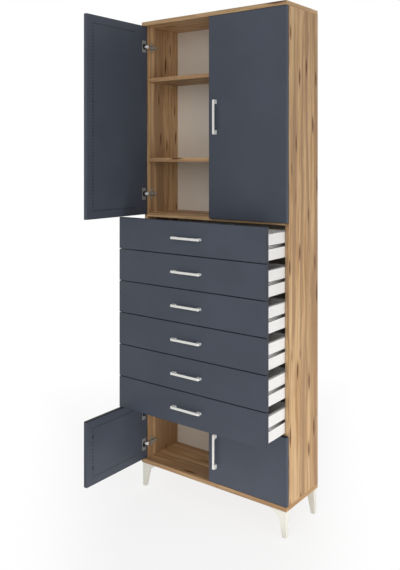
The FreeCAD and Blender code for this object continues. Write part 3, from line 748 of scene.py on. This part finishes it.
class CABINET_OT_oak_boards(bpy.types.Operator):
    """Finish the case boards, dividers and shelves as oak-look board."""

    bl_idname = "cabinet.oak_boards"
    bl_label = "Oak boards"

    def execute(self, context):
        paint(LEVEL_BOARDS, oak_foil("oak_foil_level", X_AXIS, Z_AXIS))
        paint(UPRIGHT_BOARDS, oak_foil("oak_foil_upright", Z_AXIS, X_AXIS))
        end_tape = oak_foil("oak_foil_end", Y_AXIS, X_AXIS)
        for board in LEVEL_BOARDS:
            paint_where(board, end_tape, looks_sideways)
        # Painted light: the front edges of the inner boards are drawn paler; painted shade: their
        # undersides are drawn darker
        lit_front_edge = oak_foil("oak_foil_edge", X_AXIS, Y_AXIS, paleness=INNER_EDGE_LIGHT)
        shaded_underside = oak_foil("oak_foil_underside", X_AXIS, Z_AXIS, paleness=INNER_UNDERSIDE_SHADE)
        for board in INNER_BOARDS:
            paint_where(board, lit_front_edge, looks_forward)
            paint_where(board, shaded_underside, looks_down)
        # The front edges of the outer boards are drawn a little darker than their faces
        for board, paleness in FRONT_EDGE_TONES.items():
            along = Z_AXIS if board in UPRIGHT_BOARDS else X_AXIS
            front_edge_tone = oak_foil(f"oak_foil_{board}", along, Y_AXIS, paleness)
            paint_where(board, front_edge_tone, looks_forward)
        return {"FINISHED"}


class CABINET_OT_fronts(bpy.types.Operator):
    """Finish the doors and drawer fronts in matt slate foil."""

    bl_idname = "cabinet.fronts"
    bl_label = "Doors and drawer fronts"

    def execute(self, context):
        tone, grain = colours(), sizes().foil_grain
        # Matt foil, smooth enough for a soft sheen
        slate = matt_foil("slate_foil", tone.slate, grain, roughness=0.46)
        paint([f"{drawer}_front" for drawer in DRAWERS], slate)
        paint([f"{door}_door_panel" for door in DOORS], slate)
        # Plastic edge tape with painted shade: the edges and rounded corners of the drawer fronts
        # are drawn darker than the foil
        drawer_tape_and_shade = matt_foil("slate_edge_tape", tone.slate_edge_and_shade, grain, roughness=0.5)
        for drawer in DRAWERS:
            paint_where(f"{drawer}_front", drawer_tape_and_shade, self.on_drawer_edge)
        # The foil wraps round these edges, which catch hardly any light; painted shade draws them
        # nearly black, for the dark gaps beside them
        door_shade_edging = matt_foil("door_edge_tape", tone.door_gap_shade, grain, roughness=0.6)
        for door in DOORS:
            paint_where(f"{door}_door_panel", door_shade_edging, self.on_door_edge)
        return {"FINISHED"}

    def on_drawer_edge(self, polygon):
        return abs(polygon.normal[Y_AXIS]) < FRONT_ROUNDING

    def on_door_edge(self, polygon):
        return abs(polygon.normal[Z_AXIS]) > DOOR_ROUNDING


class CABINET_OT_back(bpy.types.Operator):
    """Finish the back panel as painted hardboard."""

    bl_idname = "cabinet.back"
    bl_label = "Back panel"

    def execute(self, context):
        tone, grain = colours(), sizes().foil_grain
        # Painted hardboard: flat and dull, with no grain to see
        hardboard = matt_foil("painted_hardboard", tone.hardboard, grain, roughness=0.6, shade=0.02)
        paint(["back_panel"], hardboard)
        return {"FINISHED"}


class CABINET_OT_drawer_boxes(bpy.types.Operator):
    """Finish the drawer sides, backs and bottoms in white."""

    bl_idname = "cabinet.drawer_boxes"
    bl_label = "Drawer boxes"

    def execute(self, context):
        tone, grain = colours(), sizes().foil_grain
        # White foil: matt and even all over
        white = matt_foil("white_foil", tone.drawer_white, grain, roughness=0.5, shade=0.02)
        shade = matt_foil("groove_shade", tone.shade, grain, roughness=0.7)
        for drawer in DRAWERS:
            paint([f"{drawer}_walls", f"{drawer}_bottom"], white)
            self.shade_grooves(f"{drawer}_walls", shade)
        return {"FINISHED"}

    def shade_grooves(self, walls, material):
        """The runner grooves lie just under the outer faces of the walls and catch little light."""
        size = sizes()
        low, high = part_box(walls)
        height = low[Z_AXIS] + size.groove_rise
        reach = size.groove_width / 2 + PICK_SLACK

        def in_groove(polygon):
            depth = high[X_AXIS] - abs(polygon.center[X_AXIS])
            near = abs(polygon.center[Z_AXIS] - height) < reach
            return near and LIP_SLACK < depth < size.groove_depth + PICK_SLACK

        paint_where(walls, material, in_groove)


class CABINET_OT_handles(bpy.types.Operator):
    """Finish the bow handles in satin nickel."""

    bl_idname = "cabinet.handles"
    bl_label = "Handles"

    def execute(self, context):
        tone, look = colours(), {"roughness": 0.36, "metallic": 0.15}
        # Satin nickel on cast metal: pale, with a soft shine along the bow
        level = satin_metal("satin_nickel_level", tone.nickel, along=X_AXIS, **look)
        upright = satin_metal("satin_nickel_upright", tone.nickel, along=Z_AXIS, **look)
        paint([f"{drawer}_handle" for drawer in DRAWERS], level)
        paint([f"{door}_door_handle" for door in DOORS], upright)
        # Black oxide on the bolts: dark and dull
        dark = satin_metal(
            "black_oxide", tone.black_oxide, roughness=0.5, along=Z_AXIS, metallic=0.2
        )
        for drawer in DRAWERS:
            self.darken_heads(f"{drawer}_handle", f"{drawer}_front", Y_AXIS, dark)
        for door in DOORS:
            self.darken_heads(f"{door}_door_handle", f"{door}_door_panel", inner_axis(door), dark)
        return {"FINISHED"}

    def darken_heads(self, handle, front, axis, material):
        """The bolt heads lie on the inner face of the front, which looks up the given axis."""
        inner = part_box(front)[1][axis] - HEAD_SLACK
        paint_where(handle, material, lambda polygon: polygon.center[axis] > inner)


class CABINET_OT_hardware(bpy.types.Operator):
    """Finish hinges, runners and screws as plated steel, the shelf pins as bronze plate, and the
    dowels as beech.
    """

    bl_idname = "cabinet.hardware"
    bl_label = "Hinges, runners and screws"

    def execute(self, context):
        tone, size = colours(), sizes()
        # Bright zinc on steel: pale grey with a clear shine
        zinc = satin_metal("bright_zinc", tone.zinc, roughness=0.34, along=Y_AXIS, metallic=0.45)
        paint(["cabinet_runners", "carcass_screws", "foot_studs"], zinc)
        # Bronze plate: warm and dull, close to the oak
        bronze = satin_metal(
            "bronze_plate", tone.bronze, roughness=0.5, along=X_AXIS, metallic=0.1
        )
        paint(["shelf_pins"], bronze)
        # Turned beech: plain pale wood, dull
        paint(["carcass_dowels"], matt_foil("turned_beech", tone.beech, size.pore, roughness=0.6))
        self.finish_runners()
        shade = matt_foil("cup_shade", tone.shade, size.foil_grain, roughness=0.6)
        self.finish_arms(shade)
        # Zinc on the pressed cups: greyer than the screws
        grey_zinc = satin_metal(
            "grey_zinc", tone.grey_zinc, roughness=0.4, along=Y_AXIS, metallic=0.45
        )
        for door in DOORS:
            self.finish_cups(door, grey_zinc, shade)
        return {"FINISHED"}

    def finish_runners(self):
        """The runners are bright in front and turn dark towards the rear with painted shade, where
        they run into the shade of the case.
        """
        tone, size = colours(), sizes()
        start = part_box("drawer_1_runners")[0][Y_AXIS] + size.bright_run
        rear = (tone.runner_rear_shade, start, start + size.shade_run)
        shaded_runners = satin_metal(
            "dulled_zinc", tone.zinc, roughness=0.34, along=Y_AXIS, metallic=0.0, fade=rear
        )
        paint([f"{drawer}_runners" for drawer in DRAWERS], shaded_runners)

    def finish_arms(self, shade):
        """The head of a hinge arm is drawn white as a painted highlight, and its eye lies in the
        shade of the cup.
        """
        tone, size = colours(), sizes()
        # Zinc with a painted reflection of the oak round it, drawn warm grey
        warm_zinc = satin_metal(
            "warm_zinc", tone.warm_zinc, roughness=0.4, along=Y_AXIS, metallic=0.45
        )
        paint(["hinge_arms", "hinge_plates"], warm_zinc)
        low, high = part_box("hinge_arms")
        free_end = low[Y_AXIS] + size.bright_arm
        # Painted highlight: the heads of the arms are drawn white, brighter than their zinc
        bright = satin_metal(
            "white_nickel", tone.white_nickel, roughness=0.3, along=Y_AXIS, metallic=0.0
        )
        paint_where("hinge_arms", bright, lambda polygon: polygon.center[Y_AXIS] < free_end)
        outer, front = high[X_AXIS] - size.knuckle, low[Y_AXIS] + size.knuckle
        paint_where(
            "hinge_arms",
            shade,
            lambda polygon: abs(polygon.center[X_AXIS]) > outer and polygon.center[Y_AXIS] < front,
        )

    def finish_cups(self, door, metal, shade):
        """Only the flange lies on the door; the bowl under it catches little light."""
        cups, axis = f"{door}_hinge_cups", inner_axis(door)
        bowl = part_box(f"{door}_door_panel")[1][axis] - sizes().bowl_start
        paint([cups], metal)
        paint_where(cups, shade, lambda polygon: polygon.center[axis] < bowl)


class CABINET_OT_feet(bpy.types.Operator):
    """Finish the feet as moulded cream plastic."""

    bl_idname = "cabinet.feet"
    bl_label = "Feet"

    def execute(self, context):
        tone, grain = colours(), sizes().mould_grain
        # Moulded plastic with a spark-eroded skin: even, with a soft sheen
        cream = matt_foil("moulded_cream_plastic", tone.cream, grain, roughness=0.42, shade=0.02)
        paint(["feet"], cream)
        return {"FINISHED"}


class CABINET_OT_door_dots(bpy.types.Operator):
    """Press a row of small dots round the inner face of each door."""

    bl_idname = "cabinet.door_dots"
    bl_label = "Dots inside the doors"

    def execute(self, context):
        tone, grain = colours(), sizes().foil_grain
        # Painted shade: the dots are drawn darker than the foil, for the shade in their pressed
        # hollows
        material = matt_foil("pressed_slate", tone.slate_dot_shade, grain, roughness=0.5)
        for door in DOORS:
            self.dot_door(door, material)
        return {"FINISHED"}

    def dot_door(self, door, material):
        """One row along the free edge, and one along the upper and the lower edge."""
        size = sizes()
        low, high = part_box(f"{door}_door_panel")
        face = inner_axis(door)
        across = Y_AXIS if face == X_AXIS else X_AXIS
        free, hinge = low[across], high[across]
        bottom, top = low[Z_AXIS] + size.dot_inset, high[Z_AXIS] - size.dot_inset
        start, end = free + size.dot_inset, hinge - size.dot_end
        count = round((end - start) / size.dot_pitch)
        steps = [start + size.dot_pitch * step for step in range(count + 1)]
        spots = [(step, row) for step in steps for row in (bottom, top)]
        count = round((top - bottom) / size.dot_pitch)
        spots += [(start, bottom + (top - bottom) * step / count) for step in range(1, count)]
        builder = bmesh.new()
        turn = facing(face, 1)
        for step, row in spots:
            place = Vector((0, 0, row))
            place[across] = step
            place[face] = high[face]
            add_button(builder, place, turn, size.dot_radius, size.dot_height, size.dot_sides)
        new_piece(f"{door}_door_dots", builder, material, f"{door}_door")


class CABINET_OT_screw_recesses(bpy.types.Operator):
    """Mark the cross in the head of each screw and bolt, and add the hinges' adjusting screws."""

    bl_idname = "cabinet.screw_recesses"
    bl_label = "Screw recesses"

    def execute(self, context):
        tone, grain = colours(), sizes().foil_grain
        # Painted shade: a thin dark cross stands in for the shade that a cross recess holds
        recess = matt_foil("shaded_recess", tone.recess, grain, roughness=0.6)
        zinc = bpy.data.materials["bright_zinc"]
        self.case_screws(recess)
        self.hinge_adjusters(zinc, recess)
        for body in DRAWERS:
            self.drawer_screws(body, recess)
        for door in DOORS:
            self.bolt_heads(f"{door}_door_handle", f"{door}_door", inner_axis(door), recess)
        return {"FINISHED"}

    def head_place(self, low, high, axis, sign):
        """Middle of a solid's outer face, where a screw has its head."""
        place = (low + high) / 2
        place[axis] = high[axis] if sign > 0 else low[axis]
        return place

    def case_screws(self, recess):
        builder = bmesh.new()
        for low, high in islands("carcass_screws"):
            sign = 1 if low[X_AXIS] < 0 else -1
            add_cross(builder, self.head_place(low, high, X_AXIS, sign), facing(X_AXIS, sign))
        new_piece("carcass_screw_recesses", builder, recess, "carcass")

    def hinge_adjusters(self, zinc, recess):
        size = sizes()
        heads, crosses = bmesh.new(), bmesh.new()
        for low, high in islands("hinge_arms"):
            sign = 1 if low[X_AXIS] < 0 else -1
            turn = facing(X_AXIS, sign)
            for share in ADJUSTER_PLACES:
                place = self.head_place(low, high, X_AXIS, sign)
                place[X_AXIS] -= sign * size.head_proud
                place[Y_AXIS] = low[Y_AXIS] + (high[Y_AXIS] - low[Y_AXIS]) * share
                radius, height = size.adjuster_radius, size.adjuster_height
                add_button(heads, place, turn, radius, height, size.adjuster_sides)
                place[X_AXIS] += sign * height
                add_cross(crosses, place, turn)
        new_piece("hinge_adjusters", heads, zinc, "carcass")
        new_piece("hinge_adjuster_recesses", crosses, recess, "carcass")

    def drawer_screws(self, body, recess):
        builder = bmesh.new()
        for sign in (-1, 1):
            for place in head_places(f"{body}_runners", X_AXIS, sign):
                add_cross(builder, place, facing(X_AXIS, sign))
        new_piece(f"{body}_screw_recesses", builder, recess, body)
        self.bolt_heads(f"{body}_handle", body, Y_AXIS, recess)

    def bolt_heads(self, name, body, axis, recess):
        builder = bmesh.new()
        for place in head_places(name, axis, 1):
            add_cross(builder, place, facing(axis, 1))
        new_piece(f"{name}_bolt_recesses", builder, recess, body)


# Stage


def showing_rays(tree):
    """1 for the rays that see the white background: from the camera, off metal or through glass."""
    path = add_node(tree, "ShaderNodeLightPath").outputs
    bounced = add_node(
        tree,
        "ShaderNodeMath",
        {0: path["Is Glossy Ray"], 1: path["Is Transmission Ray"]},
        operation="MAXIMUM",
    ).outputs[0]
    return add_node(
        tree, "ShaderNodeMath", {0: path["Is Camera Ray"], 1: bounced}, operation="MAXIMUM"
    ).outputs[0]


class CABINET_OT_stage(bpy.types.Operator):
    """Set the floor, the lights, the world and the camera."""

    bl_idname = "cabinet.stage"
    bl_label = "Studio stage"

    def execute(self, context):
        scene = context.scene
        scene.view_settings.view_transform = "Standard"
        self.floor(scene)
        self.world(scene)
        for name, (place, target, width, power) in LAMPS.items():
            self.soft_light(name, place, target, width, getattr(stage_settings(), power))
        self.camera(scene)
        return {"FINISHED"}

    def floor(self, scene):
        builder = bmesh.new()
        half = stage_settings().floor_size / 2
        bmesh.ops.create_grid(builder, x_segments=1, y_segments=1, size=half)
        mesh = bpy.data.meshes.new("studio_floor")
        builder.to_mesh(mesh)
        builder.free()
        floor = bpy.data.objects.new("studio_floor", mesh)
        scene.collection.objects.link(floor)
        material, tree, shader, coords = new_material("studio_floor")
        shader.inputs["Base Color"].default_value = colours().floor
        shader.inputs["Roughness"].default_value = 0.9
        white = add_node(tree, "ShaderNodeEmission", {"Color": grey(1.0), "Strength": 1.0})
        seen = add_node(
            tree,
            "ShaderNodeMath",
            {0: showing_rays(tree), 1: self.whiteness(tree, coords)},
            operation="MULTIPLY",
        ).outputs[0]
        blend = add_node(
            tree, "ShaderNodeMixShader", {0: seen, 1: shader.outputs[0], 2: white.outputs[0]}
        )
        output = next(node for node in tree.nodes if node.type == "OUTPUT_MATERIAL")
        tree.links.new(blend.outputs[0], output.inputs["Surface"])
        mesh.materials.append(material)

    def whiteness(self, tree, coords):
        """How white the floor shows: more, the further from the cabinet."""
        away = add_node(tree, "ShaderNodeVectorMath", {0: coords}, operation="LENGTH")
        start, full = ROUND_FADE
        fade = add_node(
            tree,
            "ShaderNodeMapRange",
            {
                "Value": away.outputs["Value"],
                "From Min": start,
                "From Max": full,
                "To Min": NEAR_WHITE,
            },
        ).outputs[0]
        for heading, (start, full) in SIDE_FADES.items():
            beside = add_node(
                tree, "ShaderNodeVectorMath", {0: coords, 1: heading}, operation="DOT_PRODUCT"
            )
            paler = add_node(
                tree,
                "ShaderNodeMapRange",
                {
                    "Value": beside.outputs["Value"],
                    "From Min": start,
                    "From Max": full,
                    "To Min": NEAR_WHITE,
                },
                interpolation_type="SMOOTHSTEP",
            ).outputs[0]
            fade = add_node(
                tree, "ShaderNodeMath", {0: fade, 1: paler}, operation="MAXIMUM"
            ).outputs[0]
        return fade

    def world(self, scene):
        world = bpy.data.worlds.new("studio_world")
        scene.world = world
        world.use_nodes = True
        tree = world.node_tree
        light = next(node for node in tree.nodes if node.type == "BACKGROUND")
        light.inputs["Color"].default_value = grey(1.0)
        light.inputs["Strength"].default_value = stage_settings().sky
        shown = add_node(tree, "ShaderNodeBackground", {"Color": grey(1.0), "Strength": 1.0})
        blend = add_node(
            tree,
            "ShaderNodeMixShader",
            {0: showing_rays(tree), 1: light.outputs[0], 2: shown.outputs[0]},
        )
        output = next(node for node in tree.nodes if node.type == "OUTPUT_WORLD")
        tree.links.new(blend.outputs[0], output.inputs["Surface"])

    def soft_light(self, name, place, target, width, power):
        light = bpy.data.lights.new(name, "AREA")
        light.shape = "SQUARE"
        light.size = width
        light.energy = power
        lamp = bpy.data.objects.new(name, light)
        lamp.location = place
        lamp.rotation_euler = (Vector(target) - Vector(place)).to_track_quat("-Z", "Y").to_euler()
        bpy.context.scene.collection.objects.link(lamp)

    def camera(self, scene):
        settings = stage_settings()
        lens = bpy.data.cameras.new("photo_camera")
        lens.lens = settings.lens
        lens.sensor_width = SENSOR_WIDTH
        lens.sensor_fit = "AUTO"
        lens.shift_y = settings.shift
        camera = bpy.data.objects.new("photo_camera", lens)
        camera.location = settings.camera_place
        camera.rotation_euler = (math.radians(90), 0, settings.yaw)
        scene.collection.objects.link(camera)
        scene.camera = camera


OPERATORS = (
    CABINET_OT_oak_boards,
    CABINET_OT_fronts,
    CABINET_OT_back,
    CABINET_OT_drawer_boxes,
    CABINET_OT_handles,
    CABINET_OT_hardware,
    CABINET_OT_feet,
    CABINET_OT_door_dots,
    CABINET_OT_screw_recesses,
    CABINET_OT_stage,
)


class CABINET_PT_finishes(bpy.types.Panel):
    """Lists the finishing steps of the cabinet in the order they are made."""

    bl_idname = "CABINET_PT_finishes"
    bl_label = "Cabinet"
    bl_space_type = "VIEW_3D"
    bl_region_type = "UI"
    bl_category = "Cabinet"

    def draw(self, context):
        for operator in OPERATORS:
            self.layout.operator(operator.bl_idname)


SETTINGS = {
    "cabinet_colours": CabinetColours,
    "cabinet_sizes": CabinetSizes,
    "cabinet_stage": StageSettings,
}
CLASSES = (*SETTINGS.values(), *OPERATORS, CABINET_PT_finishes)


def register():
    for cls in CLASSES:
        bpy.utils.register_class(cls)
    for name, group in SETTINGS.items():
        setattr(bpy.types.Scene, name, PointerProperty(type=group))


def unregister():
    for name in SETTINGS:
        delattr(bpy.types.Scene, name)
    for cls in reversed(CLASSES):
        bpy.utils.unregister_class(cls)


def main():
    register()
    bpy.ops.cabinet.oak_boards()
    bpy.ops.cabinet.fronts()
    bpy.ops.cabinet.back()
    bpy.ops.cabinet.drawer_boxes()
    bpy.ops.cabinet.handles()
    bpy.ops.cabinet.hardware()
    bpy.ops.cabinet.feet()
    bpy.ops.cabinet.door_dots()
    bpy.ops.cabinet.screw_recesses()
    bpy.ops.cabinet.stage()


if __name__ == "__main__":
    main()
